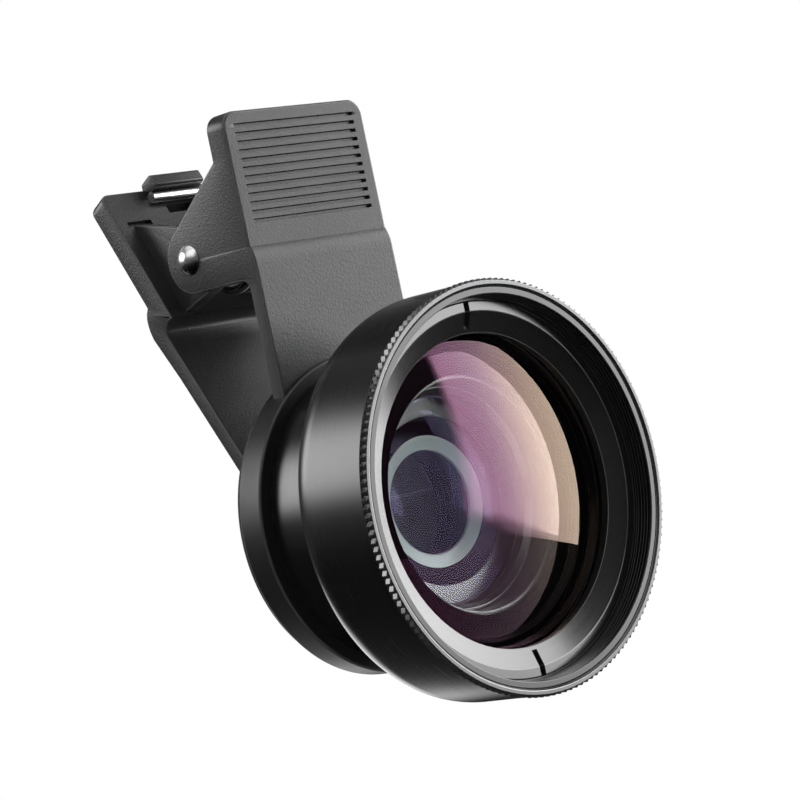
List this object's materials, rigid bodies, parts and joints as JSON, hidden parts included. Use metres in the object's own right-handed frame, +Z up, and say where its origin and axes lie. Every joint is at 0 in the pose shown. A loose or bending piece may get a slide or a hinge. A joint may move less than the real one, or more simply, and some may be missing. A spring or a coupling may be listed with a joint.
{
  "type": "clip-on phone lens",
  "caption": "Clip-on phone camera lens: a sprung peg clip holds a round ring with a screw-in macro barrel and a wide-angle barrel with a knurled rim.",
  "frame": {"origin": "on the lens axis, at the rubber face that rests on the phone", "axes": "+Z up along the clip, -Y the way the lens looks, +X to the right seen from the front"},
  "size_m": [0.0524, 0.0563, 0.0804],
  "materials": {
    "clip_plastic": "fine-textured",
    "ring_plastic": "smooth satin",
    "pad_rubber": "matte",
    "rivet_steel": "polished",
    "spring_steel": "bright drawn wire",
    "barrel_black": "black anodised, satin",
    "matte_black": "rough",
    "bare_ring": "turned, bare",
    "rim_bright": "bright cut",
    "ring_black": "dark anodised, satin",
    "front_glass": "coated",
    "rear_glass": "coated",
    "macro_glass": "coated",
    "seal_rubber": "matte"
  },
  "bodies": {
    "clip_front": {"front_arm": "clip_plastic", "lens_ring": "ring_plastic", "front_pad": "pad_rubber", "pivot_pin": "rivet_steel", "torsion_spring": "spring_steel"},
    "clip_rear": {"rear_arm": "clip_plastic", "rear_pad": "pad_rubber"},
    "macro_group": {"macro_barrel": "barrel_black", "macro_lens": "macro_glass", "macro_spacer": "matte_black", "macro_ring": "bare_ring"},
    "wide_group": {"wide_barrel": "barrel_black", "front_rim": "rim_bright", "front_lens": "front_glass", "front_seal": "seal_rubber", "retaining_ring": "ring_black", "rear_lens": "rear_glass", "rear_lens_ring": "ring_black", "rear_lens_seal": "seal_rubber", "cavity_baffle": "matte_black"}
  },
  "joints": [
    {"name": "clip_hinge", "type": "hinge", "parent": "clip_front", "child": "clip_rear", "pos_m": [0, 0.0079, 0.03705], "axis": [1, 0, 0], "range_deg": [0, 24], "stiffness_Nm_per_rad": 0.27, "springref_deg": -34.38, "deforming": ["torsion_spring"]},
    {"name": "macro_unscrew", "type": "slide", "parent": "clip_front", "child": "macro_group", "axis": [0, -1, 0], "range_m": [0, 0.006]},
    {"name": "wide_unscrew", "type": "slide", "parent": "macro_group", "child": "wide_group", "axis": [0, -1, 0], "range_m": [0, 0.009]}
  ]
}
